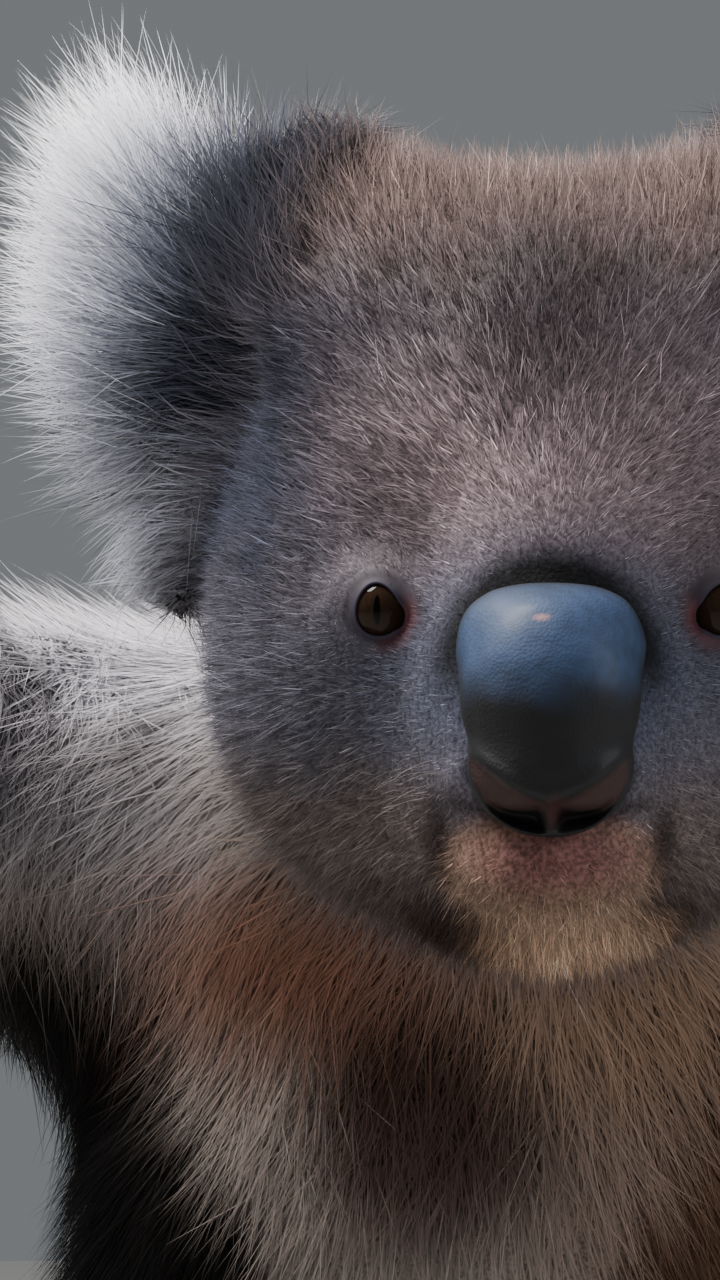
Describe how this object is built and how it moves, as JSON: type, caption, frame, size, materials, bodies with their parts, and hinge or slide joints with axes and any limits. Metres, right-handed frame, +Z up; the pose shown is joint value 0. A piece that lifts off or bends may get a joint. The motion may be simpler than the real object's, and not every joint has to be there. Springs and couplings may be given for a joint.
{
  "type": "koala",
  "caption": "Life-size adult male koala, sitting on the floor on its rump and both feet, with a hand over each knee and its head carried forward.",
  "frame": {"origin": "middle of the flat under the rump, on the floor", "axes": "+Z up, -Y the way the koala faces, +X its own left"},
  "size_m": [0.4604, 0.3904, 0.5499],
  "materials": {
    "body_fur": "matte grey fur",
    "ear_fur": "long white fur",
    "jaw_fur": "short cream fur",
    "nose_leather": "fine-grained black leather, slightly moist",
    "eye": "wet and clear",
    "claw": "smooth dark horn"
  },
  "bodies": {
    "root": {"claw_foot_left_2": "claw", "claw_foot_left_3": "claw", "claw_foot_left_4": "claw", "claw_foot_left_5": "claw", "claw_foot_right_2": "claw", "claw_foot_right_3": "claw", "claw_foot_right_4": "claw", "claw_foot_right_5": "claw", "claw_hand_left_1": "claw", "claw_hand_left_2": "claw", "claw_hand_left_3": "claw", "claw_hand_left_4": "claw", "claw_hand_left_5": "claw", "claw_hand_right_1": "claw", "claw_hand_right_2": "claw", "claw_hand_right_3": "claw", "claw_hand_right_4": "claw", "claw_hand_right_5": "claw", "ear_left": "ear_fur", "ear_right": "ear_fur", "eye_left": "eye", "eye_right": "eye", "foot_left": "body_fur", "foot_right": "body_fur", "forearm_left": "body_fur", "forearm_right": "body_fur", "hand_left": "body_fur", "hand_right": "body_fur", "head": "body_fur", "lower_jaw": "jaw_fur", "neck": "body_fur", "nose": "nose_leather", "shin_left": "body_fur", "shin_right": "body_fur", "thigh_left": "body_fur", "thigh_right": "body_fur", "trunk": "body_fur", "upper_arm_left": "body_fur", "upper_arm_right": "body_fur"}
  },
  "joints": []
}
